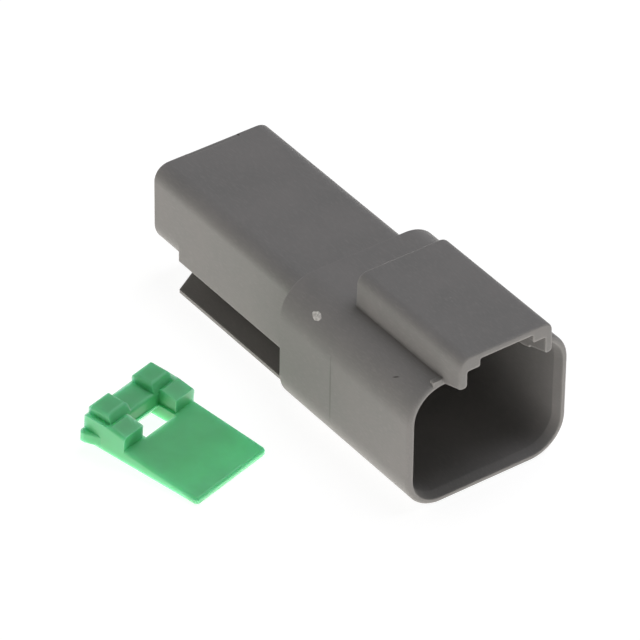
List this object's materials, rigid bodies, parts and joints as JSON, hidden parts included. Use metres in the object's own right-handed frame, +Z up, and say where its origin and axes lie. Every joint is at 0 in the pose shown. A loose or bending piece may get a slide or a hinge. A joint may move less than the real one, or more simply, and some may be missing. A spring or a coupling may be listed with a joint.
{
  "type": "connector receptacle",
  "caption": "Rectangular sealed wire connector receptacle with an open shroud, latch hood, clip rail, pin contacts and rear wire seal, its wedge lock lying beside it.",
  "frame": {"origin": "middle of the shroud's flat underside, on the surface that the housing stands on", "axes": "+Y from the open mouth to the wire end, +Z up to the latch hood, +X across to the right"},
  "size_m": [0.0372, 0.0465, 0.0178],
  "materials": {
    "housing_plastic": "moulded grey thermoplastic, fine matte texture",
    "wedge_plastic": "moulded green thermoplastic, satin",
    "seal_silicone": "moulded orange-red silicone rubber, dull",
    "contact_metal": "turned copper alloy with a satin nickel plating"
  },
  "bodies": {
    "root": {"housing": "housing_plastic", "wedge_lock": "wedge_plastic", "wire_seal": "seal_silicone", "pin_contact_left": "contact_metal", "pin_contact_right": "contact_metal"}
  },
  "joints": []
}
